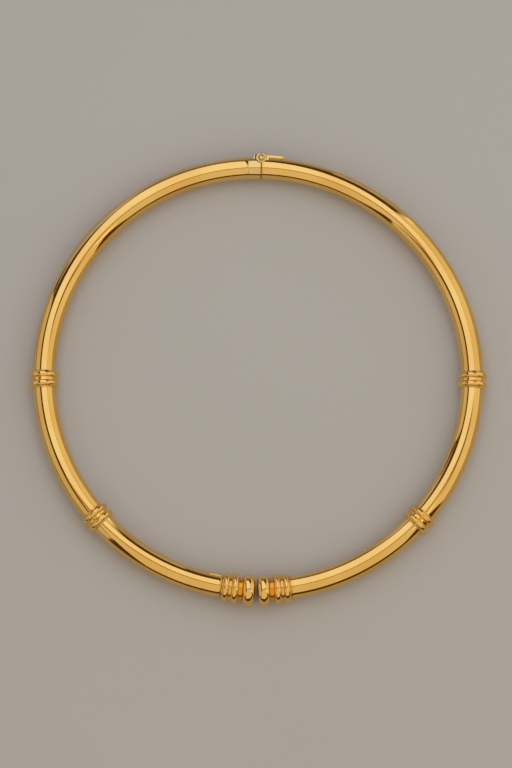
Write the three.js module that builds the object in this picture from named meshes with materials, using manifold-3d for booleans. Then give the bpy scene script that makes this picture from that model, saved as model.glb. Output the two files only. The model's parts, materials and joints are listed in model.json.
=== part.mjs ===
// Hinged neck ring of polished yellow gold: two half hoops of round tube, each with two ribbed bands and
// a ribbed terminal at the front opening, joined at the back by a small three-knuckle hinge.
// Millimetres, +Z up. The ring lies flat with the hinge at +Y and the opening at -Y.

import * as THREE from 'three';
import { mergeVertices } from 'three/addons/utils/BufferGeometryUtils.js';
import Module from 'manifold-3d';

// Hoop
const RING_RADIUS = 63; // ring centre to the middle of the tube
const TUBE_RADIUS = 3.32;
const SOLDER_GAP = 0.1; // between fixed pieces that are soldered to each other
const SEAM_GAP = 0.1; // between the two halves where they meet at the hinge

// Bands: a thin sleeve with two half-round ridges
const BAND_LENGTH = 5;
const BAND_WALL = 0.43; // sleeve thickness over the tube
const BAND_EDGE_WALL = 0.24; // the same at the sleeve's rounded ends
const BAND_EDGE_LENGTH = 0.15;
const RIDGE_HEIGHT = 0.7;
const RIDGE_WIDTH = 1.7;
const RIDGE_SPACING = 2.6;
const RIGHT_SIDE_BAND_ANGLE = 89.8; // degrees round the ring from the middle of the opening
const LEFT_SIDE_BAND_ANGLE = 87.9;
const RIGHT_FRONT_BAND_ANGLE = 48.5;
const LEFT_FRONT_BAND_ANGLE = 47.3;

// Terminals, measured along the tube from the tip. Bulb and ribs stand their height over the plain stretches.
const OPENING_WIDTH = 0.3; // between the two tips, at the inner edge of their faces
const TERMINAL_LENGTH = 9.8;
const TERMINAL_WALL = 0.45; // thickness of the plain stretches over the tube
const NECK_WALL = 0.03; // the same at the deep neck behind the bulb
const BULB_WIDTH = 3.7;
const BULB_HEIGHT = 0.9;
const BULB_DOME = 0.12; // crown of the tip
const BULB_OUTSET = 0.25; // the bulb's middle lies this much outside the middle of the tube
const OUTSET_FADE = 0.5; // share of the bulb's length over which the outset fades out at the neck
const TIP_SLANT = 3; // degrees by which each tip leans back, so that the opening widens outwards
const WIDE_RIB_WIDTH = 2;
const WIDE_RIB_HEIGHT = 0.85;
const WIDE_RIB_PLACE = 6;
const NARROW_RIB_WIDTH = 1.7;
const NARROW_RIB_HEIGHT = 0.6;
const NARROW_RIB_PLACE = 8.65;

// Hinge
const HINGE_INSET = 0.7; // the axis lies this much inside the outer edge of the tube
const BARREL_RADIUS = 1.5;
const BARREL_HEIGHT = 5.2;
const BARREL_CLEARANCE = 0.15; // between the barrel and the pocket that it turns in
const MIDDLE_KNUCKLE_HEIGHT = 1.8;
const KNUCKLE_GAP = 0.12;
const PIN_RADIUS = 0.55;
const PIN_CLEARANCE = 0.05;
const PIN_HEAD_RADIUS = 0.8;
const PIN_HEAD_HEIGHT = 0.4;
const SHOULDER_RADIUS = 1.05; // rounded root beside the barrel that carries the knuckles
const SHOULDER_REACH = 1.4; // from the hinge axis to the middle of a shoulder
const WEB_THICKNESS = 1.6; // joins a knuckle to its shoulder
const WEB_ROOT = 0.5; // how far a web runs on past the middle of its shoulder
const STRAP_LENGTH = 5.2; // thin strap along the outside of the right half
const STRAP_HEIGHT = 2.4;
const STRAP_THICKNESS = 0.75; // over the tube, at its middle
const SLEEVE_LENGTH = 3.8; // end piece of the left half
const SLEEVE_FLARE = 0.16; // how much wider it is at the seam

// Lowest ribs are worn to small flats, on which the ring lies
const SEAT_WEAR = 0.12;

// Fineness of the round forms
const SIDES = 20;
const RIB_STEPS = 6;
const HOOP_STEP = 5; // degrees
const BARREL_SIDES = 24;
const PIN_SIDES = 12;
const CROWN_STEPS = 2;
const SLEEVE_STEPS = 3;
const STRAP_STEPS = 5;
const HEAD_STEPS = 3;

const FOOT_RADIUS = TUBE_RADIUS + BAND_WALL;
const SEAT_DEPTH = FOOT_RADIUS + RIDGE_HEIGHT - SEAT_WEAR; // from the middle of the tube down to the flats
const HINGE_DISTANCE = RING_RADIUS + TUBE_RADIUS - HINGE_INSET;
const HALF_TURN = Math.PI * RING_RADIUS; // arc length of a half hoop along the middle of the tube
const TIP_ARC = OPENING_WIDTH / 2;
const HOOP_START = TIP_ARC + TERMINAL_LENGTH + SOLDER_GAP; // arc length where a tube meets its terminal
const CLEAR_OF_RING = 2 * RING_RADIUS; // farther from the ring's centre than any piece reaches

const wasm = await Module();
wasm.setup();

// A closed geometry as a solid that can be joined and cut.
function solid(geometry) {
  const bare = geometry.clone();
  bare.deleteAttribute('normal');
  bare.deleteAttribute('uv');
  const merged = mergeVertices(bare, 1e-4);
  return new wasm.Manifold(
    new wasm.Mesh({
      numProp: 3,
      vertProperties: merged.attributes.position.array,
      triVerts: new Uint32Array(merged.index.array),
    }),
  );
}

// A solid as a geometry.
function geometryOf(shape) {
  const { vertProperties, triVerts } = shape.getMesh();
  const geometry = new THREE.BufferGeometry();
  geometry.setAttribute('position', new THREE.BufferAttribute(vertProperties, 3));
  geometry.setIndex(new THREE.BufferAttribute(triVerts, 1));
  geometry.computeVertexNormals();
  return geometry;
}

function radians(degrees) {
  return THREE.MathUtils.degToRad(degrees);
}

// Bends a geometry made along Y onto the ring: X points away from the ring's centre and Y becomes the arc
// length from the middle of the opening, on the right-hand side.
function bendOntoRing(geometry) {
  const place = geometry.getAttribute('position');
  for (let i = 0; i < place.count; i += 1) {
    const reach = RING_RADIUS + place.getX(i);
    const turn = place.getY(i) / RING_RADIUS;
    place.setXYZ(i, reach * Math.sin(turn), -reach * Math.cos(turn), place.getZ(i));
  }
  return geometry;
}

// Half-round rib as profile points from its lower foot to its upper foot.
function rib(middle, width, foot, height) {
  const points = [];
  for (let step = 0; step <= RIB_STEPS; step += 1) {
    const angle = (Math.PI * step) / RIB_STEPS;
    points.push(
      new THREE.Vector2(foot + height * Math.sin(angle), middle - (width / 2) * Math.cos(angle)),
    );
  }
  return points;
}

// Upright cylinder with its flat sides, and not its edges, at the given radius.
function uprightCylinder(radius, bottom, top, x, y) {
  const corner = radius / Math.cos(Math.PI / BARREL_SIDES);
  const geometry = new THREE.CylinderGeometry(corner, corner, top - bottom, BARREL_SIDES);
  geometry.rotateX(Math.PI / 2);
  geometry.translate(x, y, (top + bottom) / 2);
  return solid(geometry);
}

function block(low, high) {
  const size = new THREE.Vector3().subVectors(high, low);
  const middle = new THREE.Vector3().addVectors(low, high).multiplyScalar(0.5);
  const geometry = new THREE.BoxGeometry(size.x, size.y, size.z);
  geometry.translate(middle.x, middle.y, middle.z);
  return solid(geometry);
}

// Takes off what lies lower than the seat that the whole ring shares.
function wornAtSeat(shape) {
  const below = block(
    new THREE.Vector3(-CLEAR_OF_RING, -CLEAR_OF_RING, -CLEAR_OF_RING),
    new THREE.Vector3(CLEAR_OF_RING, CLEAR_OF_RING, -SEAT_DEPTH),
  );
  return shape.subtract(below);
}

// Centre line of the tube between two arc lengths.
class HoopLine extends THREE.Curve {
  constructor(from, to) {
    super();
    this.from = from;
    this.to = to;
  }

  getPoint(t, target = new THREE.Vector3()) {
    const turn = THREE.MathUtils.lerp(this.from, this.to, t) / RING_RADIUS;
    return target.set(RING_RADIUS * Math.sin(turn), -RING_RADIUS * Math.cos(turn), 0);
  }
}

// Round tube, modelled solid, between two arc lengths.
function hoopTube(from, to, radius) {
  const section = new THREE.Shape();
  section.absarc(0, 0, radius, 0, 2 * Math.PI);
  const turn = (to - from) / RING_RADIUS;
  return new THREE.ExtrudeGeometry(section, {
    curveSegments: SIDES / 2,
    steps: Math.ceil(turn / radians(HOOP_STEP)),
    bevelEnabled: false,
    extrudePath: new HoopLine(from, to),
  });
}

// Ribbed band round the tube at an angle from the middle of the opening.
function band(angle) {
  const bore = TUBE_RADIUS + SOLDER_GAP;
  const edge = TUBE_RADIUS + BAND_EDGE_WALL;
  const half = BAND_LENGTH / 2;
  const profile = [
    new THREE.Vector2(bore, -half),
    new THREE.Vector2(edge, -half),
    new THREE.Vector2(FOOT_RADIUS, -half + BAND_EDGE_LENGTH),
    ...rib(-RIDGE_SPACING / 2, RIDGE_WIDTH, FOOT_RADIUS, RIDGE_HEIGHT),
    ...rib(RIDGE_SPACING / 2, RIDGE_WIDTH, FOOT_RADIUS, RIDGE_HEIGHT),
    new THREE.Vector2(FOOT_RADIUS, half - BAND_EDGE_LENGTH),
    new THREE.Vector2(edge, half),
    new THREE.Vector2(bore, half),
    new THREE.Vector2(bore, -half),
  ];
  const geometry = new THREE.LatheGeometry(profile, SIDES);
  geometry.translate(0, RING_RADIUS * radians(angle), 0);
  return geometryOf(wornAtSeat(solid(bendOntoRing(geometry))));
}

// Leans the tip back about the inner edge of its face and carries the bulb outwards. Both fade to nothing
// where the neck starts.
function slantTip(geometry, neckStart) {
  const place = geometry.getAttribute('position');
  const innerEdge = TUBE_RADIUS + NECK_WALL;
  for (let i = 0; i < place.count; i += 1) {
    const along = place.getY(i);
    const share = THREE.MathUtils.clamp(1 - along / neckStart, 0, 1);
    const lean = Math.tan(radians(TIP_SLANT)) * (place.getX(i) + innerEdge) * share;
    const outset = BULB_OUTSET * THREE.MathUtils.smoothstep(share, 0, OUTSET_FADE);
    place.setXYZ(i, place.getX(i) + outset, along + lean, place.getZ(i));
  }
  return geometry;
}

// Crowned face of a tip as profile points from its middle to just inside its edge.
function crown(edge) {
  const points = [];
  for (let step = 0; step < CROWN_STEPS; step += 1) {
    const share = step / CROWN_STEPS;
    points.push(new THREE.Vector2(edge * share, BULB_DOME * share ** 2));
  }
  return points;
}

// Terminal on the right of the opening: bulb, deep neck, wide rib, groove and narrow rib.
function terminal() {
  const plain = TUBE_RADIUS + TERMINAL_WALL;
  const neck = TUBE_RADIUS + NECK_WALL;
  const bulbMiddle = BULB_DOME + BULB_WIDTH / 2;
  const bulbEnd = BULB_DOME + BULB_WIDTH;
  const wideRibStart = WIDE_RIB_PLACE - WIDE_RIB_WIDTH / 2;
  const profile = [
    ...crown(neck),
    ...rib(bulbMiddle, BULB_WIDTH, neck, plain + BULB_HEIGHT - neck),
    new THREE.Vector2(neck, (bulbEnd + wideRibStart) / 2),
    new THREE.Vector2(neck, wideRibStart),
    ...rib(WIDE_RIB_PLACE, WIDE_RIB_WIDTH, plain, WIDE_RIB_HEIGHT),
    ...rib(NARROW_RIB_PLACE, NARROW_RIB_WIDTH, plain, NARROW_RIB_HEIGHT),
    new THREE.Vector2(plain, TERMINAL_LENGTH),
    new THREE.Vector2(0, TERMINAL_LENGTH),
  ];
  const geometry = slantTip(new THREE.LatheGeometry(profile, SIDES), bulbEnd);
  geometry.translate(0, TIP_ARC, 0);
  return geometryOf(wornAtSeat(solid(bendOntoRing(geometry))));
}

// Cylinder round the hinge axis that is kept clear for the turning knuckles.
function barrelPocket() {
  const half = TUBE_RADIUS + SLEEVE_FLARE + BARREL_HEIGHT;
  return uprightCylinder(BARREL_RADIUS + BARREL_CLEARANCE, -half, half, 0, HINGE_DISTANCE);
}

// Rounded root beside the barrel on one side, -1 for the left and 1 for the right, grown by a gap on request.
function shoulder(side, gap) {
  const half = BARREL_HEIGHT / 2 + gap;
  return uprightCylinder(SHOULDER_RADIUS + gap, -half, half, side * SHOULDER_REACH, HINGE_DISTANCE);
}

// Web from the hinge axis into the shoulder on one side, between two heights.
function web(side, bottom, top, gap) {
  const reach = SHOULDER_REACH + WEB_ROOT + gap;
  const half = WEB_THICKNESS / 2 + gap;
  return block(
    new THREE.Vector3(Math.min(0, side * reach), HINGE_DISTANCE - half, bottom - gap),
    new THREE.Vector3(Math.max(0, side * reach), HINGE_DISTANCE + half, top + gap),
  );
}

function pinBore() {
  return uprightCylinder(PIN_RADIUS + PIN_CLEARANCE, -BARREL_HEIGHT, BARREL_HEIGHT, 0, HINGE_DISTANCE);
}

// One knuckle with its web, bored for the pin.
function knuckle(side, bottom, top) {
  const barrel = uprightCylinder(BARREL_RADIUS, bottom, top, 0, HINGE_DISTANCE);
  return barrel.add(web(side, bottom, top, 0)).subtract(pinBore());
}

// Everything on one side of the plane between the two halves.
function sideOfSeam(side) {
  const near = (side * SEAM_GAP) / 2;
  const far = side * CLEAR_OF_RING;
  return block(
    new THREE.Vector3(Math.min(near, far), 0, -CLEAR_OF_RING),
    new THREE.Vector3(Math.max(near, far), CLEAR_OF_RING, CLEAR_OF_RING),
  );
}

// Half hoop on the right: ends at the seam and is let in round the barrel and the hinge leaf.
function rightHoop() {
  const tube = solid(hoopTube(HOOP_START, HALF_TURN - SEAM_GAP / 2, TUBE_RADIUS));
  const half = MIDDLE_KNUCKLE_HEIGHT / 2;
  const letIn = barrelPocket().add(shoulder(1, SOLDER_GAP)).add(web(1, -half, half, SOLDER_GAP));
  return geometryOf(tube.subtract(letIn));
}

// Half hoop on the left, made on the right-hand side and mirrored: it ends at the hinge sleeve.
function leftHoop() {
  return hoopTube(HOOP_START, HALF_TURN - SLEEVE_LENGTH - SOLDER_GAP, TUBE_RADIUS);
}

// End piece of the left half, slightly flared towards the seam, with the upper and lower knuckles.
function leftHingeSleeve() {
  const profile = [new THREE.Vector2(0, HALF_TURN - SLEEVE_LENGTH)];
  for (let step = 0; step <= SLEEVE_STEPS; step += 1) {
    const share = step / SLEEVE_STEPS;
    profile.push(
      new THREE.Vector2(TUBE_RADIUS + SLEEVE_FLARE * share, HALF_TURN - SLEEVE_LENGTH * (1 - share)),
    );
  }
  profile.push(new THREE.Vector2(0, HALF_TURN));
  const made = bendOntoRing(new THREE.LatheGeometry(profile, SIDES));
  const mirrored = solid(made).mirror([1, 0, 0]);
  const body = mirrored.add(shoulder(-1, 0)).subtract(barrelPocket()).intersect(sideOfSeam(-1));
  const half = BARREL_HEIGHT / 2;
  const inner = MIDDLE_KNUCKLE_HEIGHT / 2 + KNUCKLE_GAP;
  return geometryOf(body.add(knuckle(-1, inner, half)).add(knuckle(-1, -half, -inner)));
}

// Leaf of the right half: middle knuckle, shoulder and the thin strap along the outside of the tube. The
// strap is made twice as thick, with its inner half in the room of the tube, which is then cut away.
function rightHingeLeaf() {
  const strapStart = HALF_TURN - SHOULDER_REACH - STRAP_LENGTH;
  const thickness = 2 * STRAP_THICKNESS;
  const strap = new THREE.BoxGeometry(thickness, STRAP_LENGTH, STRAP_HEIGHT, 1, STRAP_STEPS, 1);
  strap.translate(TUBE_RADIUS, strapStart + STRAP_LENGTH / 2, 0);
  const tubeRoom = hoopTube(strapStart - SOLDER_GAP, HALF_TURN, TUBE_RADIUS + SOLDER_GAP);
  const outside = solid(bendOntoRing(strap)).subtract(solid(tubeRoom));
  const root = shoulder(1, 0).subtract(barrelPocket());
  const half = MIDDLE_KNUCKLE_HEIGHT / 2;
  return geometryOf(outside.add(root).add(knuckle(1, -half, half)));
}

// Low dome of a pin head as profile points from its edge to the axis.
function domedHead(seat) {
  const points = [];
  for (let step = 0; step < HEAD_STEPS; step += 1) {
    const angle = ((Math.PI / 2) * step) / HEAD_STEPS;
    points.push(
      new THREE.Vector2(PIN_HEAD_RADIUS * Math.cos(angle), seat + PIN_HEAD_HEIGHT * Math.sin(angle)),
    );
  }
  points.push(new THREE.Vector2(0, seat + PIN_HEAD_HEIGHT));
  return points;
}

// Hinge pin with a low domed head at each end.
function hingePin() {
  const seat = BARREL_HEIGHT / 2 + PIN_CLEARANCE;
  const head = domedHead(seat);
  const below = head.map((point) => new THREE.Vector2(point.x, -point.y)).reverse();
  const profile = [
    ...below,
    new THREE.Vector2(PIN_RADIUS, -seat),
    new THREE.Vector2(PIN_RADIUS, seat),
    ...head,
  ];
  const geometry = new THREE.LatheGeometry(profile, PIN_SIDES);
  geometry.rotateX(Math.PI / 2);
  geometry.translate(0, HINGE_DISTANCE, 0);
  return geometry;
}

function polishedGold() {
  return new THREE.MeshStandardMaterial({ color: 0xe0ac4c, roughness: 0.12, metalness: 1 });
}

function hingeGold() {
  return new THREE.MeshStandardMaterial({ color: 0xd2a556, roughness: 0.25, metalness: 1 });
}

function piece(name, geometry, material) {
  const mesh = new THREE.Mesh(geometry, material);
  mesh.name = name;
  return mesh;
}

// Hoop, bands and terminal of one half. The left half is the right-hand form mirrored.
function halfRing(side, hoop, sideBandAngle, frontBandAngle) {
  const half = new THREE.Group();
  half.add(piece(`${side}_hoop`, hoop, polishedGold()));
  half.add(piece(`${side}_side_band`, band(sideBandAngle), polishedGold()));
  half.add(piece(`${side}_front_band`, band(frontBandAngle), polishedGold()));
  half.add(piece(`${side}_terminal`, terminal(), polishedGold()));
  return half;
}

function neckRing() {
  const ring = new THREE.Group();
  const left = halfRing('left', leftHoop(), LEFT_SIDE_BAND_ANGLE, LEFT_FRONT_BAND_ANGLE);
  left.scale.x = -1;
  ring.add(left);
  ring.add(halfRing('right', rightHoop(), RIGHT_SIDE_BAND_ANGLE, RIGHT_FRONT_BAND_ANGLE));
  ring.add(piece('left_hinge_sleeve', leftHingeSleeve(), hingeGold()));
  ring.add(piece('right_hinge_leaf', rightHingeLeaf(), hingeGold()));
  ring.add(piece('hinge_pin', hingePin(), hingeGold()));
  return ring;
}

// The origin is under the middle of the ring's own box, on the surface that it lies on.
function standing(ring) {
  const box = new THREE.Box3().setFromObject(ring, true);
  const middle = box.getCenter(new THREE.Vector3());
  ring.position.set(-middle.x, -middle.y, -box.min.z);
  const model = new THREE.Group();
  model.add(ring);
  return model;
}

export default standing(neckRing());
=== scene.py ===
"""Looks of a hinged neck ring of polished yellow gold, built round its fixed frame.

Two half hoops of round tube carry ridged bands and ribbed terminals, and a small three-knuckle hinge joins
them at the back. The ring lies on a pale floor under soft studio panels. All sizes are in metres.
"""

import json
import logging
import math
from dataclasses import dataclass, field
from enum import Enum
from typing import Sequence, Union

import bmesh
import bpy
import numpy as np
from mathutils import Matrix, Vector, noise


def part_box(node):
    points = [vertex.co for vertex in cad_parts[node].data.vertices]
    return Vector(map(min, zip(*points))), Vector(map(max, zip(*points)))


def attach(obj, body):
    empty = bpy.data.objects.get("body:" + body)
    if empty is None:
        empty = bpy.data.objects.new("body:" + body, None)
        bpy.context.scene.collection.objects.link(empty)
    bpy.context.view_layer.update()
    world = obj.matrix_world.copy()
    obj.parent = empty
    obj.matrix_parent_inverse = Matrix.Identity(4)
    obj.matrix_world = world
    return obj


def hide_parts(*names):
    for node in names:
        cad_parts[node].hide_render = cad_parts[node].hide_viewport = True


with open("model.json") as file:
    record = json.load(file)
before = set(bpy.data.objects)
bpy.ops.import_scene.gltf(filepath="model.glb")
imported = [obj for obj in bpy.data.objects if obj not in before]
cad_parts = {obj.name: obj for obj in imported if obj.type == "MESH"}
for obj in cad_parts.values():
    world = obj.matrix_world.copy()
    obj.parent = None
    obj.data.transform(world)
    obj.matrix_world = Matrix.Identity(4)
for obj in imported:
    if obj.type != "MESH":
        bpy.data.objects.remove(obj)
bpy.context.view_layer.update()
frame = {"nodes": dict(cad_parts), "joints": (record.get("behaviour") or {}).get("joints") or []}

MM = 0.001
POLISHED_SLOT = "polished_gold"
HINGE_SLOT = "hinge_gold"
TUBE_SIDES = 112
SHARP_DEGREES = 40.0

log = logging.getLogger("neck_ring")
Object = bpy.types.Object
Triple = tuple[float, float, float]
Rgba = tuple[float, float, float, float]
Number = Union[float, "Wire"]
Colour = Union[Rgba, "Wire"]


class Side(Enum):
    """Which half of the ring a piece belongs to. The value is the sign of X there."""

    LEFT = -1
    RIGHT = 1

    @property
    def word(self) -> str:
        """The side's name as the nodes spell it."""
        return self.name.lower()

    @property
    def body(self) -> str:
        """The moving body of that side."""
        return f"{self.word}_half"


class BandSpot(Enum):
    """Where on its half a ridged band sits, as the nodes spell it."""

    SIDE = "side"
    FRONT = "front"


class Joining(Enum):
    """How one solid is combined with another."""

    ADD = "UNION"
    CUT = "DIFFERENCE"


# Where the ring lies

@dataclass(frozen=True)
class RingPlace:
    """Where the ring lies, and how straight forms bend onto it.

    A straight form is made of points (out, arc, up). Out leads away from the ring's centre, arc runs along
    the middle of the tube from the middle of the opening, and up is the height over the middle of the tube.
    """

    radius: float
    tube_radius: float
    middle_y: float
    height: float
    hinge_y: float

    @classmethod
    def from_frame(cls, ridge_rise: float, hinge_inset: float) -> "RingPlace":
        """Reads the ring's place from the frame.

        Args:
            ridge_rise: How far a side band's ridges stand out from the tube.
            hinge_inset: How far the hinge axis lies inside the outer edge of the tube.

        Returns:
            The ring's place.
        """
        tube_low, tube_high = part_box("left_hoop")
        left_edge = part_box("left_side_band")[0].x
        right_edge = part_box("right_side_band")[1].x
        tube_radius = (tube_high.z - tube_low.z) / 2
        radius = (right_edge - left_edge) / 2 - tube_radius - ridge_rise
        hinge_y = frame["joints"][0]["pos_m"][1]
        middle_y = hinge_y - (radius + tube_radius - hinge_inset)
        return cls(radius, tube_radius, middle_y, (tube_high.z + tube_low.z) / 2, hinge_y)

    @property
    def half_turn(self) -> float:
        """Arc length from the middle of the opening to the hinge."""
        return math.pi * self.radius

    def bend(self, points: np.ndarray, side: Side) -> np.ndarray:
        """Bends straight points onto one side of the ring.

        Args:
            points: Points (out, arc, up) in the last axis.
            side: The half of the ring to bend them onto.

        Returns:
            The points' places in the ring's frame.
        """
        reach = self.radius + points[..., 0]
        turn = points[..., 1] / self.radius
        x = side.value * reach * np.sin(turn)
        y = self.middle_y - reach * np.cos(turn)
        return np.stack([x, y, self.height + points[..., 2]], -1)

    def straighten(self, points: np.ndarray) -> np.ndarray:
        """Takes places on the ring back to straight points.

        Args:
            points: Places in the ring's frame, in the last axis.

        Returns:
            Points (out, arc, up), with the arc counted from the opening on both sides.
        """
        x = points[..., 0]
        y = points[..., 1] - self.middle_y
        out = np.hypot(x, y) - self.radius
        arc = self.radius * np.arctan2(np.abs(x), -y)
        return np.stack([out, arc, points[..., 2] - self.height], -1)

    def arc_of(self, node: str) -> float:
        """Arc length from the middle of the opening to the middle of a node.

        Args:
            node: Name of a band's node in the frame.

        Returns:
            The arc length on that node's own side.
        """
        vertices = frame["nodes"][node].data.vertices
        places = np.array([vertex.co for vertex in vertices])
        middle = self.straighten(places.mean(0))
        return float(middle[1])


# Meshes

def smoothstep(low: float, high: float, value: np.ndarray) -> np.ndarray:
    """Smooth rise from 0 at low to 1 at high.

    Args:
        low: Value at which the rise starts.
        high: Value at which it ends. It may be less than low for a fall.
        value: The values to shape.

    Returns:
        The shares from 0 to 1.
    """
    share = np.clip((value - low) / (high - low), 0, 1)
    return share * share * (3 - 2 * share)


def in_scene(name: str, data: bpy.types.ID) -> Object:
    """Makes an object of a mesh, a light or a camera and puts it in the scene.

    Args:
        name: The object's name.
        data: What it shows.

    Returns:
        The object.
    """
    made = bpy.data.objects.new(name, data)
    bpy.context.scene.collection.objects.link(made)
    return made


def rings_to_object(name: str, rings: np.ndarray, closed: bool = False) -> Object:
    """Makes a closed solid from rings of points.

    Args:
        name: The object's name.
        rings: The rings, as rings x points x 3.
        closed: Whether the last ring joins the first. Otherwise both ends are capped.

    Returns:
        The object, smooth shaded, with its faces pointing out.
    """
    total, count = rings.shape[:2]
    index = np.arange(total * count).reshape(total, count)
    lower = index if closed else index[:-1]
    upper = np.roll(index, -1, 0) if closed else index[1:]
    quads = np.stack([lower, np.roll(lower, -1, 1), np.roll(upper, -1, 1), upper], -1)
    vertices = rings.reshape(-1, 3).tolist()
    faces = quads.reshape(-1, 4).tolist()
    if not closed:
        for ring, first in ((index[0][::-1], rings[0]), (index[-1], rings[-1])):
            centre = len(vertices)
            vertices.append(first.mean(0).tolist())
            faces.extend([int(a), int(b), centre] for a, b in zip(ring, np.roll(ring, -1)))
    mesh = bpy.data.meshes.new(name)
    mesh.from_pydata(vertices, [], faces)
    piece = in_scene(name, mesh)
    face_outwards(piece)
    return piece


def face_outwards(piece: Object) -> None:
    """Turns a solid's faces outwards and shades them smooth.

    Args:
        piece: The object whose mesh is put right.
    """
    work = bmesh.new()
    work.from_mesh(piece.data)
    bmesh.ops.recalc_face_normals(work, faces=work.faces)
    if work.calc_volume(signed=True) < 0:
        bmesh.ops.reverse_faces(work, faces=work.faces)
    work.to_mesh(piece.data)
    work.free()
    piece.data.shade_smooth()


def join(piece: Object, tool: Object, how: Joining) -> None:
    """Adds a tool to a piece or cuts it away, and removes the tool.

    Args:
        piece: The solid that is changed.
        tool: The solid that it is changed with.
        how: Whether the tool is added or cut away.
    """
    modifier = piece.modifiers.new("joining", "BOOLEAN")
    modifier.object = tool
    modifier.operation = how.value
    modifier.solver = "EXACT"
    graph = bpy.context.evaluated_depsgraph_get()
    made = bpy.data.meshes.new_from_object(piece.evaluated_get(graph))
    piece.modifiers.clear()
    worn_out = (piece.data, tool.data)
    piece.data = made
    bpy.data.objects.remove(tool)
    for mesh in worn_out:
        bpy.data.meshes.remove(mesh)


def crisp(piece: Object) -> None:
    """Shades a cut solid smooth apart from its sharp edges."""
    piece.data.shade_smooth()
    piece.data.set_sharp_from_angle(angle=math.radians(SHARP_DEGREES))


@dataclass(frozen=True)
class Rib:
    """Half-round rib round the tube, with its middle counted along the tube."""

    middle: float
    width: float
    height: float

    def profile(self, foot: float, steps: int) -> list[tuple[float, float]]:
        """Draws the rib from its lower foot to its upper foot.

        Args:
            foot: Radius on which the rib stands.
            steps: Number of steps in the curve.

        Returns:
            Points (radius, arc).
        """
        angles = [math.pi * step / steps for step in range(steps + 1)]
        half = self.width / 2
        return [(foot + self.height * math.sin(a), self.middle - half * math.cos(a)) for a in angles]


def waves(points: np.ndarray, lengths: Sequence[float], shift: Sequence[float]) -> np.ndarray:
    """Soft noise from -1 to 1, as hand work leaves it.

    Args:
        points: The points, as rings x points x 3.
        lengths: Size of one wave in each direction.
        shift: Where in the noise the first point lies, in waves.

    Returns:
        The noise at each point, as rings x points.
    """
    spots = (points / np.array(lengths) + np.array(shift)).reshape(-1, 3)
    return np.array([noise.noise(Vector(spot)) for spot in spots]).reshape(points.shape[:2])


def softened(profile: Sequence[tuple[float, float]], step: float, reach: float) -> np.ndarray:
    """Spaces a profile's points evenly and rounds its corners as polishing does.

    Args:
        profile: Points (radius, arc).
        step: Distance between points of the result.
        reach: How far from a corner the rounding reaches.

    Returns:
        The rounded profile. Its two ends stay where they are.
    """
    points = np.array(profile)
    lengths = np.r_[0, np.cumsum(np.linalg.norm(np.diff(points, axis=0), axis=1))]
    count = max(2, round(lengths[-1] / step)) + 1
    even = np.linspace(0, lengths[-1], count)
    line = np.stack([np.interp(even, lengths, points[:, axis]) for axis in (0, 1)], -1)
    pad = max(1, round(2 * reach / step))
    weights = np.exp(-0.5 * (np.arange(-pad, pad + 1) * step / (reach / 2)) ** 2)
    weights /= weights.sum()
    before = 2 * line[0] - line[pad:0:-1]
    after = 2 * line[-1] - line[-2:-pad - 2:-1]
    longer = np.concatenate([before, line, after])
    return np.stack([np.convolve(longer[:, axis], weights, "valid") for axis in (0, 1)], -1)


def turned(profile: np.ndarray) -> np.ndarray:
    """Turns a profile round the middle of the tube.

    Args:
        profile: Points (radius, arc).

    Returns:
        Straight points (out, arc, up), as rings x points x 3.
    """
    around = 2 * math.pi * np.arange(TUBE_SIDES) / TUBE_SIDES
    radius = profile[:, :1]
    out = radius * np.sin(around)
    up = radius * np.cos(around)
    arc = np.broadcast_to(profile[:, 1:2], out.shape)
    return np.stack([out, arc, up], -1)


def upright(name: str, profile: np.ndarray, x: float, y: float, sides: int) -> Object:
    """Turns a profile round an upright axis.

    Args:
        name: The object's name.
        profile: Points (radius, height).
        x: Place of the axis.
        y: Place of the axis.
        sides: Number of points in each ring.

    Returns:
        The solid.
    """
    around = 2 * math.pi * np.arange(sides) / sides
    radius = profile[:, :1]
    across = x + radius * np.cos(around)
    along = y + radius * np.sin(around)
    height = np.broadcast_to(profile[:, 1:2], across.shape)
    return rings_to_object(name, np.stack([across, along, height], -1))


def block(name: str, low: Vector, high: Vector, rim: float) -> Object:
    """Block with rounded edges.

    Args:
        name: The object's name.
        low: Its lowest corner.
        high: Its highest corner.
        rim: Radius of the rounding.

    Returns:
        The solid.
    """
    work = bmesh.new()
    bmesh.ops.create_cube(work, size=1)
    place = Matrix.Translation((low + high) / 2) @ Matrix.Diagonal((*(high - low), 1))
    bmesh.ops.transform(work, matrix=place, verts=work.verts)
    bmesh.ops.bevel(work, geom=work.edges[:], offset=rim, segments=3, profile=0.5, affect="EDGES")
    mesh = bpy.data.meshes.new(name)
    work.to_mesh(mesh)
    work.free()
    piece = in_scene(name, mesh)
    face_outwards(piece)
    return piece


# Materials

class Wire:
    """A socket of a material's nodes that can be used in sums."""

    def __init__(self, tree: "NodeTree", socket: bpy.types.NodeSocket) -> None:
        """Keeps the socket and the tree that it belongs to."""
        self.tree = tree
        self.socket = socket

    def _math(self, operation: str, left: Number, right: Number) -> "Wire":
        """Adds one Math node and returns its result."""
        return self.tree.node("ShaderNodeMath", {"operation": operation}, {0: left, 1: right})

    def __add__(self, other: Number) -> "Wire":
        """This value plus another."""
        return self._math("ADD", self, other)

    def __radd__(self, other: Number) -> "Wire":
        """Another value plus this one."""
        return self._math("ADD", other, self)

    def __sub__(self, other: Number) -> "Wire":
        """This value less another."""
        return self._math("SUBTRACT", self, other)

    def __rsub__(self, other: Number) -> "Wire":
        """Another value less this one."""
        return self._math("SUBTRACT", other, self)

    def __mul__(self, other: Number) -> "Wire":
        """This value times another."""
        return self._math("MULTIPLY", self, other)

    def __rmul__(self, other: Number) -> "Wire":
        """Another value times this one."""
        return self._math("MULTIPLY", other, self)


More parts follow.
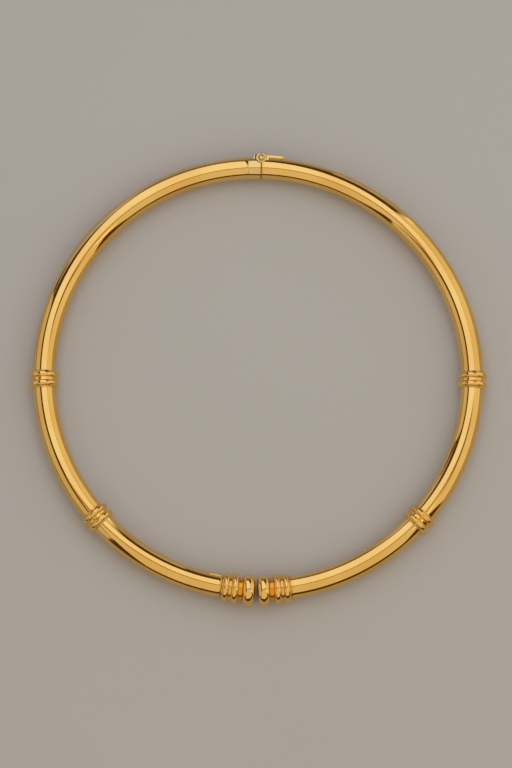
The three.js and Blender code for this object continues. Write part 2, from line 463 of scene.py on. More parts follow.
class NodeTree:
    """The nodes of one material or world, and short ways to add to them."""

    def __init__(self, owner: Union[bpy.types.Material, bpy.types.World]) -> None:
        """Starts with an empty tree.

        Args:
            owner: The material or world that the tree belongs to.
        """
        owner.use_nodes = True
        self.tree = owner.node_tree
        self.tree.nodes.clear()

    def node(
        self,
        kind: str,
        settings: dict[str, object],
        inputs: dict[Union[int, str], object],
        output: Union[int, str] = 0,
    ) -> Wire:
        """Adds a node.

        Args:
            kind: The node's type.
            settings: Properties of the node, which are set before its sockets.
            inputs: Values or links of its input sockets, by name or number.
            output: The output socket that is wanted.

        Returns:
            That output, ready for sums.
        """
        made = self.tree.nodes.new(kind)
        for name, value in settings.items():
            setattr(made, name, value)
        for name, value in inputs.items():
            if isinstance(value, Wire):
                self.tree.links.new(value.socket, made.inputs[name])
            else:
                made.inputs[name].default_value = value
        return Wire(self, made.outputs[output])

    def show(self, shader: Wire, kind: str = "ShaderNodeOutputMaterial") -> None:
        """Shows a shader on the surface.

        Args:
            shader: The shader.
            kind: The type of the output node.
        """
        output = self.tree.nodes.new(kind)
        self.tree.links.new(shader.socket, output.inputs["Surface"])

    def mixed(self, share: Number, low: Colour, high: Colour) -> Wire:
        """Mixes two colours.

        Args:
            share: How much of the second colour shows.
            low: The first colour.
            high: The second colour.

        Returns:
            The mixed colour.
        """
        return self.node("ShaderNodeMix", {"data_type": "RGBA"}, {0: share, 6: low, 7: high}, 2)

    def noise(self, vector: Wire, scale: float, detail: float) -> Wire:
        """Soft noise from 0 to 1 over a vector.

        Args:
            vector: The coordinates.
            scale: Number of features in a metre.
            detail: How many finer layers are added.

        Returns:
            The noise's value.
        """
        inputs = {"Vector": vector, "Scale": scale, "Detail": detail}
        return self.node("ShaderNodeTexNoise", {"noise_dimensions": "3D"}, inputs)

    def ranged(self, value: Wire, low: float, high: float) -> Wire:
        """Takes a stretch of a value to the range from 0 to 1, smoothly.

        Args:
            value: The value.
            low: What becomes 0.
            high: What becomes 1.

        Returns:
            The ranged value.
        """
        inputs = {"Value": value, "From Min": low, "From Max": high}
        return self.node("ShaderNodeMapRange", {"interpolation_type": "SMOOTHSTEP"}, inputs)


@dataclass(frozen=True)
class GoldFinish:
    """Polished gold with faint polishing lines, soft handling marks and painted shade in low places."""

    name: str
    bright: Rgba = (0.93, 0.62, 0.19, 1)
    warm: Rgba = (0.88, 0.55, 0.15, 1)
    # Low colour: painted shade, a deeper orange gold where the low mask marks grooves, necks and seams.
    low: Rgba = (0.86, 0.4, 0.035, 1)
    clean_roughness: float = 0.055
    handled_roughness: float = 0.05
    low_roughness: float = 0.16
    tone_scale: float = 45.0
    tone_range: tuple[float, float] = (0.35, 0.65)
    handling_scale: float = 260.0
    handling_range: tuple[float, float] = (0.42, 0.72)
    line_stretch: Triple = (1.0, 0.03, 1.0)
    line_scale: float = 5200.0
    ripple_scale: float = 330.0
    ripple_share: float = 0.9
    relief: float = 0.0000035

    def make(self) -> bpy.types.Material:
        """Builds the material.

        Returns:
            The material, which reads the meshes' own straight values and low values, the painted shade
            mask.
        """
        material = bpy.data.materials.new(self.name)
        tree = NodeTree(material)
        straight = tree.node("ShaderNodeAttribute", {"attribute_name": "straight"}, {}, "Vector")
        low = tree.node("ShaderNodeAttribute", {"attribute_name": "low"}, {}, "Fac")
        stretched = tree.node(
            "ShaderNodeVectorMath", {"operation": "MULTIPLY"}, {0: straight, 1: self.line_stretch}
        )
        tone = tree.ranged(tree.noise(straight, self.tone_scale, 2.0), *self.tone_range)
        handled = tree.ranged(tree.noise(straight, self.handling_scale, 4.0), *self.handling_range)
        lines = tree.noise(stretched, self.line_scale, 2.0)
        ripple = tree.noise(straight, self.ripple_scale, 1.0)
        # Turns the colour towards the low colour where the low mask is: painted shade in hollows and seams.
        colour = tree.mixed(low, tree.mixed(tone, self.bright, self.warm), self.low)
        roughness = self.clean_roughness + handled * self.handled_roughness + low * self.low_roughness
        height = lines + (ripple - lines) * self.ripple_share
        bump = {"Strength": 1.0, "Distance": self.relief, "Height": height}
        normal = tree.node("ShaderNodeBump", {}, bump)
        inputs = {"Base Color": colour, "Roughness": roughness, "Metallic": 1.0, "Normal": normal}
        tree.show(tree.node("ShaderNodeBsdfPrincipled", {}, inputs))
        return material


@dataclass(frozen=True)
class FloorFinish:
    """Plain pale matt floor with a hardly visible mottle."""

    name: str = "pale_floor"
    light: Rgba = (0.60, 0.595, 0.58, 1)
    shade: Rgba = (0.57, 0.565, 0.55, 1)
    mottle_scale: float = 9.0
    mottle_detail: float = 3.0
    roughness: float = 0.7

    def make(self) -> bpy.types.Material:
        """Builds the material.

        Returns:
            The material.
        """
        material = bpy.data.materials.new(self.name)
        tree = NodeTree(material)
        places = tree.node("ShaderNodeTexCoord", {}, {}, "Object")
        mottle = tree.noise(places, self.mottle_scale, self.mottle_detail)
        colour = tree.mixed(mottle, self.light, self.shade)
        inputs = {"Base Color": colour, "Roughness": self.roughness}
        tree.show(tree.node("ShaderNodeBsdfPrincipled", {}, inputs))
        return material


# Pieces

@dataclass
class Piece:
    """What every piece of the ring shares: its place, its finish and how it is set on its body."""

    place: RingPlace
    side: Side
    finish: bpy.types.Material
    slot: str

    def painted_shade_places(self, straight: np.ndarray) -> np.ndarray:
        """Finds how much painted shade each point gets.

        Args:
            straight: Straight points of the mesh.

        Returns:
            The shares from 0 to 1. A plain piece holds none.
        """
        return np.zeros(len(straight))

    def settle(self, piece: Object, *nodes: str) -> Object:
        """Gives a finished mesh its surface values and its material, and sets it on its body.

        Args:
            piece: The finished object.
            nodes: The frame's nodes that it stands for.

        Returns:
            The same object.
        """
        mesh = piece.data
        places = np.zeros(len(mesh.vertices) * 3)
        mesh.vertices.foreach_get("co", places)
        straight = self.place.straighten(places.reshape(-1, 3))
        held = mesh.attributes.new("straight", "FLOAT_VECTOR", "POINT")
        held.data.foreach_set("vector", straight.astype(np.float32).ravel())
        # Painted shade mask, kept as the low attribute that darkens the gold's colour.
        painted_shade = mesh.attributes.new("low", "FLOAT", "POINT")
        painted_shade.data.foreach_set("value", self.painted_shade_places(straight).astype(np.float32))
        mesh.materials.clear()
        mesh.materials.append(self.finish)
        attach(piece, self.side.body)
        if nodes:
            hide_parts(*nodes)
        log.info("%s: %d faces on %s", piece.name, len(mesh.polygons), self.side.body)
        return piece


@dataclass
class RidgedBand(Piece):
    """Thin sleeve round the tube with two half-round ridges."""

    spot: BandSpot
    length: float = 5 * MM
    wall: float = 0.43 * MM
    edge_wall: float = 0.24 * MM
    edge_length: float = 0.15 * MM
    ridge_height: float = 0.7 * MM
    ridge_width: float = 1.7 * MM
    ridge_spacing: float = 2.6 * MM
    ridge_steps: int = 24
    solder_gap: float = 0.1 * MM
    rounding: float = 0.16 * MM
    step: float = 0.08 * MM
    # Strength and height of the painted shade at the foot of the groove between the ridges.
    painted_shade: float = 0.12
    painted_shade_height: float = 0.3 * MM
    unevenness: float = 0.03 * MM
    wave_lengths: Triple = (2.2 * MM, 11 * MM, 2.2 * MM)

    @property
    def node(self) -> str:
        """The band's node in the frame."""
        return f"{self.side.word}_{self.spot.value}_band"

    @property
    def middle(self) -> float:
        """Arc length from the middle of the opening to the middle of the band."""
        return self.place.arc_of(self.node)

    @property
    def foot(self) -> float:
        """Radius of the sleeve on which the ridges stand."""
        return self.place.tube_radius + self.wall

    def outline(self) -> np.ndarray:
        """Draws the sleeve's profile.

        Returns:
            Points (radius, arc) over the outside, from bore to bore.
        """
        bore = self.place.tube_radius + self.solder_gap
        edge = self.place.tube_radius + self.edge_wall
        half = self.length / 2
        first_edge = [(bore, -half), (edge, -half), (self.foot, -half + self.edge_length)]
        last_edge = [(radius, -arc) for radius, arc in reversed(first_edge)]
        places = (-self.ridge_spacing / 2, self.ridge_spacing / 2)
        ridges = [Rib(place, self.ridge_width, self.ridge_height) for place in places]
        crests = [point for ridge in ridges for point in ridge.profile(self.foot, self.ridge_steps)]
        return softened([*first_edge, *crests, *last_edge], self.step, self.rounding)

    def painted_shade_places(self, straight: np.ndarray) -> np.ndarray:
        """Finds the faint painted shade in the groove between the ridges.

        Args:
            straight: Straight points of the mesh.

        Returns:
            The shares from 0 to 1.
        """
        radius = np.hypot(straight[:, 0], straight[:, 2])
        between = smoothstep(self.ridge_spacing / 2, 0, np.abs(straight[:, 1] - self.middle))
        return self.painted_shade * smoothstep(self.foot + self.painted_shade_height, self.foot, radius) * between

    def build(self) -> Object:
        """Makes the band, with ridges that wander a little, and sets it on its half.

        Returns:
            The band.
        """
        rings = turned(self.outline())
        middle = self.middle
        wander = waves(rings, self.wave_lengths, (0, middle / self.wave_lengths[0], 0))
        height = (np.hypot(rings[..., 0], rings[..., 2]) - self.foot) / self.ridge_height
        rings[..., 1] += middle + self.unevenness * wander * np.clip(height, 0, 1)
        rings[..., 2] = np.maximum(rings[..., 2], -self.place.height)
        name = f"{self.side.word}_band_{self.spot.value}"
        piece = rings_to_object(name, self.place.bend(rings, self.side), closed=True)
        return self.settle(piece, self.node)


@dataclass
class Terminal(Piece):
    """Ribbed end of a half hoop: bulb, deep neck, wide rib, groove and narrow rib."""

    tip_arc: float = 0.15 * MM
    length: float = 9.8 * MM
    wall: float = 0.45 * MM
    neck_wall: float = 0.03 * MM
    bulb_width: float = 3.7 * MM
    bulb_height: float = 0.9 * MM
    bulb_dome: float = 0.12 * MM
    bulb_outset: float = 0.25 * MM
    outset_fade: float = 0.5
    tip_slant: float = 3.0
    wide_rib: Rib = Rib(6.0 * MM, 2.0 * MM, 0.85 * MM)
    narrow_rib: Rib = Rib(8.65 * MM, 1.7 * MM, 0.6 * MM)
    rounding: float = 0.16 * MM
    step: float = 0.09 * MM
    rib_steps: int = 32
    crown_steps: int = 12
    # Painted shade in the neck behind the bulb, fainter in the grooves past the wide rib.
    painted_shade_height: float = 0.25 * MM
    groove_painted_shade: float = 0.45

    @property
    def plain(self) -> float:
        """Radius of the plain stretches."""
        return self.place.tube_radius + self.wall

    @property
    def neck(self) -> float:
        """Radius of the deep neck."""
        return self.place.tube_radius + self.neck_wall

    @property
    def bulb_end(self) -> float:
        """Where the bulb ends and the neck starts, from the tip."""
        return self.bulb_dome + self.bulb_width

    def outline(self) -> np.ndarray:
        """Draws the terminal's profile.

        Returns:
            Points (radius, arc) from the middle of the tip's face to the end on the tube.
        """
        shares = [step / self.crown_steps for step in range(1, self.crown_steps)]
        crown = [(self.neck * share, self.bulb_dome * share**2) for share in shares]
        bulb_middle = self.bulb_dome + self.bulb_width / 2
        bulb = Rib(bulb_middle, self.bulb_width, self.plain + self.bulb_height - self.neck)
        profile = [
            *crown,
            *bulb.profile(self.neck, self.rib_steps),
            (self.neck, self.wide_rib.middle - self.wide_rib.width / 2),
            *self.wide_rib.profile(self.plain, self.rib_steps),
            *self.narrow_rib.profile(self.plain, self.rib_steps),
            (self.plain, self.length),
        ]
        return softened(profile, self.step, self.rounding)

    def slanted(self, rings: np.ndarray) -> np.ndarray:
        """Leans the tip back about the inner edge of its face and carries the bulb outwards.

        Args:
            rings: Straight points of the upright form.

        Returns:
            The points of the slanted form.
        """
        out, arc, up = rings[..., 0], rings[..., 1], rings[..., 2]
        share = np.clip(1 - arc / self.bulb_end, 0, 1)
        lean = math.tan(math.radians(self.tip_slant)) * (out + self.neck) * share
        outset = self.bulb_outset * smoothstep(0, self.outset_fade, share)
        return np.stack([out + outset, arc + lean, up], -1)

    def painted_shade_places(self, straight: np.ndarray) -> np.ndarray:
        """Finds the painted shade in the neck and, more faintly, in the grooves.

        Args:
            straight: Straight points of the mesh.

        Returns:
            The shares from 0 to 1.
        """
        radius = np.hypot(straight[:, 0], straight[:, 2])
        from_tip = straight[:, 1] - self.tip_arc
        behind_bulb = smoothstep(self.bulb_width / 2, self.bulb_end, from_tip)
        crest = self.wide_rib.middle
        past_rib = smoothstep(crest, crest + self.wide_rib.width / 2, from_tip)
        strength = 1 - (1 - self.groove_painted_shade) * past_rib
        return smoothstep(self.plain + self.painted_shade_height, self.plain, radius) * behind_bulb * strength

    def build(self) -> Object:
        """Makes the terminal and sets it on its half.

        Returns:
            The terminal.
        """
        rings = self.slanted(turned(self.outline()))
        rings[..., 1] += self.tip_arc
        rings[..., 2] = np.maximum(rings[..., 2], -self.place.height)
        piece = rings_to_object(f"{self.side.word}_ribbed_terminal", self.place.bend(rings, self.side))
        return self.settle(piece, f"{self.side.word}_terminal")


@dataclass
class Hinge:
    """The hinge's sizes, and the solids that its two halves and the right tube are made with.

    The heights that its methods take are counted from the middle of the tube.
    """

    place: RingPlace
    inset: float = 0.7 * MM
    barrel_radius: float = 1.5 * MM
    barrel_height: float = 5.2 * MM
    barrel_clearance: float = 0.15 * MM
    middle_knuckle_height: float = 1.8 * MM
    knuckle_gap: float = 0.12 * MM
    knuckle_rim: float = 0.144 * MM
    pin_radius: float = 0.55 * MM
    pin_clearance: float = 0.05 * MM
    pin_head_radius: float = 0.8 * MM
    pin_head_height: float = 0.4 * MM
    shoulder_radius: float = 1.05 * MM
    shoulder_reach: float = 1.4 * MM
    shoulder_rim: float = 0.18 * MM
    web_thickness: float = 1.6 * MM
    web_root: float = 0.5 * MM
    web_rim: float = 0.045 * MM
    strap_length: float = 5.2 * MM
    strap_height: float = 2.4 * MM
    strap_thickness: float = 0.75 * MM
    sleeve_length: float = 3.8 * MM
    sleeve_flare: float = 0.16 * MM
    seam_gap: float = 0.1 * MM
    solder_gap: float = 0.1 * MM
    rim: float = 0.09 * MM
    rim_steps: int = 5
    sides: int = 72

    def drum(self, radius: float, bottom: float, top: float, rim: float, x: float = 0) -> Object:
        """Upright cylinder with rounded rims, on the hinge axis or beside it.

        Args:
            radius: The cylinder's radius.
            bottom: Its lower end.
            top: Its upper end.
            rim: Radius of the rounding at both rims.
            x: Place of its own axis.

        Returns:
            The solid.
        """
        foot = self.place.height + bottom
        head = self.place.height + top
        angles = [math.pi / 2 * step / self.rim_steps for step in range(self.rim_steps + 1)]
        low = [(radius - rim + rim * math.sin(a), foot + rim - rim * math.cos(a)) for a in angles]
        high = [(radius - rim + rim * math.cos(a), head - rim + rim * math.sin(a)) for a in angles]
        profile = np.array([(radius / 2, foot), *low, *high, (radius / 2, head)])
        return upright("drum", profile, x, self.place.hinge_y, self.sides)

    def pocket(self) -> Object:
        """Round room about the hinge axis in which the knuckles turn."""
        reach = 2 * self.place.tube_radius
        return self.drum(self.barrel_radius + self.barrel_clearance, -reach, reach, self.rim)

    def shoulder(self, side: Side, gap: float = 0) -> Object:
        """Rounded root beside the barrel.

        Args:
            side: The side of the barrel.
            gap: How much larger it is made than the root itself.

        Returns:
            The solid.
        """
        half = self.barrel_height / 2 + gap
        x = side.value * self.shoulder_reach
        return self.drum(self.shoulder_radius + gap, -half, half, self.shoulder_rim, x)

    def web(self, side: Side, bottom: float, top: float, gap: float = 0) -> Object:
        """Web from the hinge axis into a shoulder.

        Args:
            side: The side of the barrel.
            bottom: Lower face.
            top: Upper face.
            gap: How much larger it is made than the web itself.

        Returns:
            The solid.
        """
        reach = side.value * (self.shoulder_reach + self.web_root + gap)
        half = self.web_thickness / 2 + gap
        low = Vector((min(0, reach), self.place.hinge_y - half, self.place.height + bottom - gap))
        high = Vector((max(0, reach), self.place.hinge_y + half, self.place.height + top + gap))
        return block("web", low, high, self.web_rim)

    def room(self) -> list[Object]:
        """Makes the three solids that are cut out of the right tube for the barrel and the leaf.

        Returns:
            The room of the barrel, of the shoulder and of the web.
        """
        half = self.middle_knuckle_height / 2
        return [
            self.pocket(),
            self.shoulder(Side.RIGHT, self.solder_gap),
            self.web(Side.RIGHT, -half, half, self.solder_gap),
        ]

    def add_knuckle(self, piece: Object, side: Side, bottom: float, top: float) -> None:
        """Adds a bored knuckle with its web to one half of the hinge.

        Args:
            piece: The half of the hinge.
            side: The half's side.
            bottom: The knuckle's lower face.
            top: Its upper face.
        """
        barrel = self.drum(self.barrel_radius, bottom, top, self.knuckle_rim)
        join(barrel, self.web(side, bottom, top), Joining.ADD)
        reach = self.barrel_height
        bore = self.drum(self.pin_radius + self.pin_clearance, bottom - reach, top + reach, self.rim)
        join(barrel, bore, Joining.CUT)
        join(piece, barrel, Joining.ADD)


@dataclass
class HalfHoop(Piece):
    """Half hoop of round tube, from its terminal to the hinge."""

    hinge: Hinge
    start: float
    band_arcs: tuple[float, float]
    band_length: float
    step_degrees: float = 0.8
    unevenness: float = 0.014 * MM
    wave_lengths: Triple = (4.5 * MM, 9 * MM, 4.5 * MM)
    wave_shift: tuple[float, float] = (7, 3)
    sleeve_seam: float = 0.02 * MM
    sleeve_rim: float = 0.03 * MM
    seam_reach: float = 0.4 * MM
    # Painted shade along the seams with the terminal, the bands and the hinge.
    seam_painted_shade: float = 0.6
    band_painted_shade: float = 0.35
    sleeve_painted_shade: float = 0.12

    @property
    def end(self) -> float:
        """Finds where the tube ends beside the hinge.

        Returns:
            The arc length from the middle of the opening.
        """
        if self.side is Side.RIGHT:
            return self.place.half_turn - self.hinge.seam_gap / 2
        return self.place.half_turn - self.hinge.sleeve_length - self.sleeve_seam

    def painted_shade_places(self, straight: np.ndarray) -> np.ndarray:
        """Finds the painted shade along the seams with the bands, the terminal and the hinge.

        Args:
            straight: Straight points of the mesh.

        Returns:
            The shares from 0 to 1.
        """
        half = self.band_length / 2
        at_hinge = self.seam_painted_shade if self.side is Side.RIGHT else self.sleeve_painted_shade
        seams = {self.start: self.seam_painted_shade, self.end: at_hinge}
        seams |= {middle + side * half: self.band_painted_shade for middle in self.band_arcs for side in (-1, 1)}
        shares = [
            strength * smoothstep(self.seam_reach, 0, np.abs(straight[:, 1] - seam))
            for seam, strength in seams.items()
        ]
        return np.max(shares, axis=0)

    def build(self) -> Object:
        """Makes the tube, lets in the hinge on the right, and sets it on its half.

        Returns:
            The tube.
        """
        rim = self.hinge.rim
        end_rim = rim if self.side is Side.RIGHT else self.sleeve_rim
        count = round(math.degrees((self.end - self.start) / self.place.radius) / self.step_degrees)
        radius = self.place.tube_radius
        wall = [(radius, arc) for arc in np.linspace(self.start + rim, self.end - end_rim, count)]
        profile = [(radius - rim, self.start), *wall, (radius - end_rim, self.end)]
        rings = turned(np.array(profile))
        swell = 0.5 + 0.5 * waves(rings[1:-1], self.wave_lengths, (*self.wave_shift, self.side.value))
        rings[1:-1, :, ::2] *= (1 - self.unevenness / radius * swell)[..., None]
        piece = rings_to_object(f"{self.side.word}_tube", self.place.bend(rings, self.side))
        if self.side is Side.RIGHT:
            for tool in self.hinge.room():
                join(piece, tool, Joining.CUT)
            crisp(piece)
        return self.settle(piece, f"{self.side.word}_hoop")


@dataclass
class HingeSleeve(Piece):
    """End piece of the left half, slightly flared, with the upper and lower knuckles."""

    hinge: Hinge
    sleeve_steps: int = 14
    begin_rim: float = 0.03 * MM
    seam_reach: float = 0.25 * MM
    # Reach of the painted shade round the barrel's pocket and the pin's head.
    painted_shade_reach: float = 0.3 * MM

    def painted_shade_places(self, straight: np.ndarray) -> np.ndarray:
        """Finds the painted shade along the seam between the halves, round the barrel and round the pin's
        head.

        Args:
            straight: Straight points of the mesh.

        Returns:
            The shares from 0 to 1.
        """
        skin = self.place.tube_radius
        from_seam = self.place.half_turn - straight[:, 1]
        from_axis = np.hypot(straight[:, 0] - (skin - self.hinge.inset), from_seam)
        wall = self.hinge.barrel_radius + self.hinge.barrel_clearance
        near_skin = smoothstep(skin - 2 * self.seam_reach, skin, np.hypot(straight[:, 0], straight[:, 2]))
        at_seam = smoothstep(self.seam_reach, 0, np.abs(from_seam)) * near_skin
        at_pocket, at_head = (
            smoothstep(self.painted_shade_reach, 0, np.abs(from_axis - edge))
            for edge in (wall, self.hinge.pin_head_radius)
        )
        return np.max([at_seam, at_pocket, at_head], axis=0)

    def build(self) -> Object:
        """Makes the sleeve with its knuckles and sets it on the left half.

        Returns:
            The sleeve.
        """
        hinge = self.hinge
        begin = self.place.half_turn - hinge.sleeve_length
        end = self.place.half_turn - hinge.seam_gap / 2
        radius = self.place.tube_radius
        shares = [step / self.sleeve_steps for step in range(self.sleeve_steps + 1)]
        first = begin + self.begin_rim
        length = end - hinge.rim - first
        wall = [(radius + hinge.sleeve_flare * share, first + length * share) for share in shares]
        last = (radius + hinge.sleeve_flare - hinge.rim, end)
        rings = turned(np.array([(radius - self.begin_rim, begin), *wall, last]))
        piece = rings_to_object("left_sleeve_with_knuckles", self.place.bend(rings, Side.LEFT))
        join(piece, hinge.shoulder(Side.LEFT), Joining.ADD)
        join(piece, hinge.pocket(), Joining.CUT)
        half = hinge.barrel_height / 2
        inner = hinge.middle_knuckle_height / 2 + hinge.knuckle_gap
        hinge.add_knuckle(piece, Side.LEFT, inner, half)
        hinge.add_knuckle(piece, Side.LEFT, -half, -inner)
        crisp(piece)
        return self.settle(piece, "left_hinge_sleeve")


@dataclass
class HingeLeaf(Piece):
    """Middle knuckle, shoulder and thin strap of the right half."""

    hinge: Hinge
    strap_rings: int = 16
    strap_sides: int = 48
    squareness: float = 5.0
    tip_length: float = 0.16
    tip_size: float = 0.65
    seat: float = 0.02 * MM
    seat_rings: int = 24

    def strap(self) -> Object:
        """Thin strap along the outside of the tube, with its inner half still inside the tube.

        Returns:
            The solid.
        """
        hinge = self.hinge
        around = 2 * math.pi * np.arange(self.strap_sides) / self.strap_sides
        sides = (np.sin(around), np.cos(around))
        across, upwards = (np.sign(side) * np.abs(side) ** (2 / self.squareness) for side in sides)
        share = np.linspace(0, 1, self.strap_rings + 1)[:, None]
        rounding = np.sqrt(1 - np.clip(1 - share / self.tip_length, 0, 1) ** 2)
        size = self.tip_size + (1 - self.tip_size) * rounding
        out = self.place.tube_radius + hinge.strap_thickness * size * across
        start = self.place.half_turn - hinge.shoulder_reach - hinge.strap_length
        arc = np.broadcast_to(start + hinge.strap_length * share, out.shape)
        rings = np.stack([out, arc, hinge.strap_height / 2 * size * upwards], -1)
        return rings_to_object("strap", self.place.bend(rings, Side.RIGHT))

    def tube_room(self) -> Object:
        """Makes the tube's own room beside the strap.

        Returns:
            The solid.
        """
        reach = self.hinge.strap_length
        half_turn = self.place.half_turn
        arcs = np.linspace(half_turn - 2 * reach, half_turn + reach, self.seat_rings)
        profile = np.array([(self.place.tube_radius + self.seat, arc) for arc in arcs])
        return rings_to_object("tube_room", self.place.bend(turned(profile), Side.RIGHT))

    def build(self) -> Object:
        """Makes the leaf and sets it on the right half.

        Returns:
            The leaf.
        """
        piece = self.strap()
        join(piece, self.tube_room(), Joining.CUT)
        root = self.hinge.shoulder(Side.RIGHT)
        join(root, self.hinge.pocket(), Joining.CUT)
        join(piece, root, Joining.ADD)
        half = self.hinge.middle_knuckle_height / 2
        self.hinge.add_knuckle(piece, Side.RIGHT, -half, half)
        piece.name = "right_leaf_with_strap"
        crisp(piece)
        return self.settle(piece, "right_hinge_leaf")


@dataclass
class HingePin(Piece):
    """Hinge pin with a low domed head at each end."""

    hinge: Hinge
    steps: int = 12
    sides: int = 64

    def build(self) -> Object:
        """Makes the pin and sets it on the left half.

        Returns:
            The pin.
        """
        hinge = self.hinge
        seat = hinge.barrel_height / 2 + hinge.pin_clearance
        angles = [math.pi / 2 * step / self.steps for step in range(self.steps)]
        width, rise = hinge.pin_head_radius, hinge.pin_head_height
        head = [(width * math.cos(angle), seat + rise * math.sin(angle)) for angle in angles]
        below = [(radius, -height) for radius, height in reversed(head)]
        profile = np.array([*below, (hinge.pin_radius, -seat), (hinge.pin_radius, seat), *head])
        profile[:, 1] += self.place.height
        piece = upright("domed_hinge_pin", profile, 0, self.place.hinge_y, self.sides)
        crisp(piece)
        return self.settle(piece, "hinge_pin")


@dataclass
class BareTab(Piece):
    """Small bare raised tab on the inner side of the left tube, beside the terminal."""

    first_arc: float = 10.5 * MM
    last_arc: float = 14.4 * MM
    thickness: float = 0.34 * MM
    sunk: float = 0.085 * MM
    from_top: float = 52.0
    to_side: float = 84.0
    end_squareness: float = 8.0
    side_squareness: float = 6.0
    rings_along: int = 26
    points_across: int = 18

    def build(self) -> Object:
        """Makes the tab as a low cushion on the tube's skin.

        Returns:
            The tab.
        """
        along = np.abs(np.linspace(-1, 1, self.rings_along))[:, None]
        across = np.abs(np.linspace(-1, 1, self.points_across))
        fall = (1 - along**self.end_squareness) * (1 - across**self.side_squareness)
        upper = self.place.tube_radius + self.thickness * np.sqrt(np.clip(fall, 0, 1))
        lower = np.full_like(upper, self.place.tube_radius - self.sunk)
        radius = np.concatenate([upper, lower], 1)
        angles = np.radians(np.linspace(self.from_top, self.to_side, self.points_across))
        around = np.concatenate([angles, angles[::-1]])
        arcs = np.linspace(self.first_arc, self.last_arc, self.rings_along)[:, None]
        arc = np.broadcast_to(arcs, radius.shape)
        rings = np.stack([-radius * np.sin(around), arc, radius * np.cos(around)], -1)
        return self.settle(rings_to_object("left_bare_tab", self.place.bend(rings, Side.LEFT)))


# Studio

class Light(Enum):
    """The panels' colours."""

    CLEAR = (0.97, 1.0, 1.08)
    WARM = (1.04, 0.98, 0.86)
    GREY = (0.92, 0.97, 1.5)
    AMBER = (1.0, 0.63, 0.26)


@dataclass(frozen=True)
class Panel:
    """One soft light panel: a rectangle in the air.

    At a pitch of 0 it faces the floor. Positive pitch turns its face towards its heading, which is counted
    from +Y against the clock. Its width lies level.
    """

    name: str
    middle: Triple
    pitch: float
    heading: float
    width: float
    length: float
    radiance: float
    light: Light

    def hang(self) -> Object:
        """Hangs the panel.

        Returns:
            The light.
        """
        light = bpy.data.lights.new(self.name, "AREA")
        light.shape = "RECTANGLE"
        light.size = self.width
        light.size_y = self.length
        light.energy = self.radiance * math.pi * self.width * self.length
        light.color = self.light.value
        panel = in_scene(self.name, light)
        panel.location = self.middle
        panel.rotation_euler = (math.radians(self.pitch), 0, math.radians(self.heading))
        panel.visible_camera = False
        log.info("%s hangs", self.name)
        return panel


@dataclass(frozen=True)
class Viewpoint:
    """The photographer's place over the ring."""

    location: Triple = (-0.02902, -0.14592, 0.79891)
    target: Triple = (-0.00053, -0.00119, -0.00014)
    roll: float = 0.69
    focal_pixels: float = 2750.0
    picture_height: float = 768.0
    sensor: float = 36.0

    def place(self) -> Object:
        """Sets the camera.

        Returns:
            The camera.
        """
        data = bpy.data.cameras.new("camera")
        data.sensor_width = self.sensor
        data.lens = self.focal_pixels * self.sensor / self.picture_height
        camera = in_scene("camera", data)
        ahead = (Vector(self.target) - Vector(self.location)).normalized()
        level = ahead.cross(Vector((0, 1, 0))).normalized()
        upward = level.cross(ahead)
        roll = math.radians(self.roll)
        right = level * math.cos(roll) + upward * math.sin(roll)
        top = upward * math.cos(roll) - level * math.sin(roll)
        turn = Matrix((right, top, -ahead)).transposed().to_4x4()
        camera.matrix_world = Matrix.Translation(Vector(self.location)) @ turn
        bpy.context.scene.camera = camera
        return camera


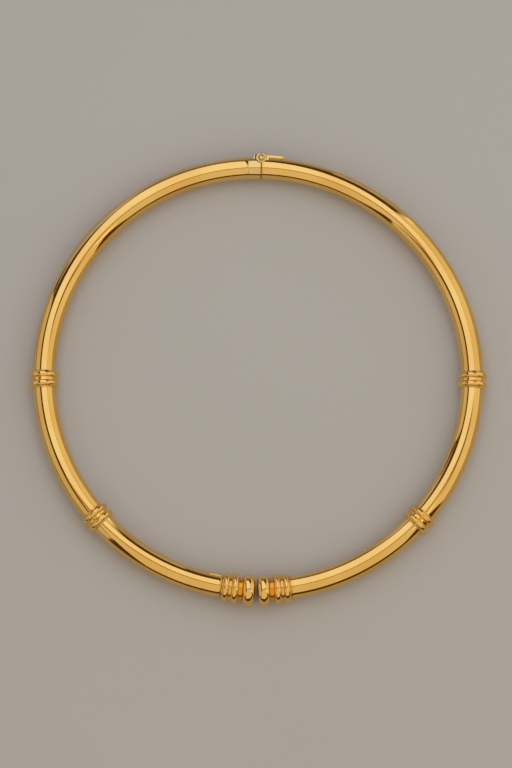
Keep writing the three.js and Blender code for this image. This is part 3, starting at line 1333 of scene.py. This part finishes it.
@dataclass
class Studio:
    """Pale floor, soft panels and camera."""

    floor_radius: float = 0.34
    floor_sides: int = 96
    surround: Rgba = (0.075, 0.038, 0.012, 1)
    backdrop: Rgba = (0.41, 0.375, 0.345, 1)
    viewpoint: Viewpoint = field(default_factory=Viewpoint)
    panels: tuple[Panel, ...] = (
        Panel(
            "ceiling_panel", (-0.1826, 0.7456, 0.613), pitch=0, heading=15.3,
            width=0.625, length=1.515, radiance=0.94, light=Light.CLEAR,
        ),
        Panel(
            "seam_panel", (-0.053, -0.0415, 0.614), pitch=0, heading=14.6,
            width=0.62, length=0.06, radiance=0.46, light=Light.AMBER,
        ),
        Panel(
            "south_panel", (-0.008, -0.219, 0.37), pitch=59, heading=14,
            width=0.63, length=0.572, radiance=0.64, light=Light.WARM,
        ),
        Panel(
            "west_panel", (-0.4015, -0.055, 0.24), pitch=91.4, heading=-84.5,
            width=0.61, length=0.425, radiance=0.53, light=Light.WARM,
        ),
        Panel(
            "east_panel", (0.339, 0.107, 0.294), pitch=82, heading=98.3,
            width=0.63, length=0.554, radiance=0.71, light=Light.WARM,
        ),
        Panel(
            "north_panel", (-0.076, 0.951, 0.148), pitch=96, heading=198.3,
            width=1.637, length=0.204, radiance=0.21, light=Light.GREY,
        ),
        Panel(
            "northwest_panel", (-0.721, 0.772, 0.233), pitch=54, heading=-172.8,
            width=0.577, length=0.517, radiance=0.33, light=Light.GREY,
        ),
        Panel(
            "northeast_panel", (0.522, 0.992, 0.216), pitch=88.8, heading=131.3,
            width=0.443, length=0.435, radiance=0.30, light=Light.GREY,
        ),
    )

    def floor(self) -> Object:
        """Round pale floor on which the ring lies.

        Returns:
            The floor.
        """
        turns = [2 * math.pi * side / self.floor_sides for side in range(self.floor_sides)]
        corners = [(self.floor_radius * math.cos(t), self.floor_radius * math.sin(t), 0.0) for t in turns]
        mesh = bpy.data.meshes.new("floor")
        mesh.from_pydata(corners, [], [list(range(self.floor_sides))])
        mesh.materials.append(FloorFinish().make())
        floor = in_scene("floor", mesh)
        return floor

    def surroundings(self) -> None:
        """Dim room round the panels, with a pale backdrop where the camera looks past the floor."""
        world = bpy.data.worlds.new("studio")
        bpy.context.scene.world = world
        tree = NodeTree(world)
        seen = tree.node("ShaderNodeLightPath", {}, {}, "Is Camera Ray")
        colour = tree.mixed(seen, self.surround, self.backdrop)
        background = tree.node("ShaderNodeBackground", {}, {"Color": colour, "Strength": 1.0})
        tree.show(background, "ShaderNodeOutputWorld")

    def build(self) -> None:
        """Sets up the whole studio."""
        self.floor()
        self.surroundings()
        for panel in self.panels:
            panel.hang()
        self.viewpoint.place()
        bpy.context.scene.view_settings.view_transform = "Standard"


def main() -> None:
    """Builds and dresses the ring, piece by piece, in its studio."""
    logging.basicConfig(level=logging.INFO, format="%(message)s")
    place = RingPlace.from_frame(RidgedBand.wall + RidgedBand.ridge_height, Hinge.inset)
    hinge = Hinge(place)
    polished = GoldFinish(POLISHED_SLOT).make()
    worn = GoldFinish(
        HINGE_SLOT,
        bright=(0.88, 0.62, 0.24, 1),
        warm=(0.82, 0.54, 0.18, 1),
        # Near-black low colour: painted shade in the hinge's seam, its pocket and round the pin's head.
        low=(0.12, 0.06, 0.02, 1),
        clean_roughness=0.1,
    ).make()
    for side in Side:
        bands = [RidgedBand(place, side, polished, POLISHED_SLOT, spot) for spot in BandSpot]
        terminal = Terminal(place, side, polished, POLISHED_SLOT)
        start = terminal.tip_arc + terminal.length + hinge.solder_gap
        arcs = tuple(band.middle for band in bands)
        HalfHoop(place, side, polished, POLISHED_SLOT, hinge, start, arcs, bands[0].length).build()
        for band in bands:
            band.build()
        terminal.build()
    HingeSleeve(place, Side.LEFT, worn, HINGE_SLOT, hinge).build()
    HingeLeaf(place, Side.RIGHT, worn, HINGE_SLOT, hinge).build()
    HingePin(place, Side.LEFT, worn, HINGE_SLOT, hinge).build()
    BareTab(place, Side.LEFT, polished, POLISHED_SLOT).build()
    Studio().build()


if __name__ == "__main__":
    main()
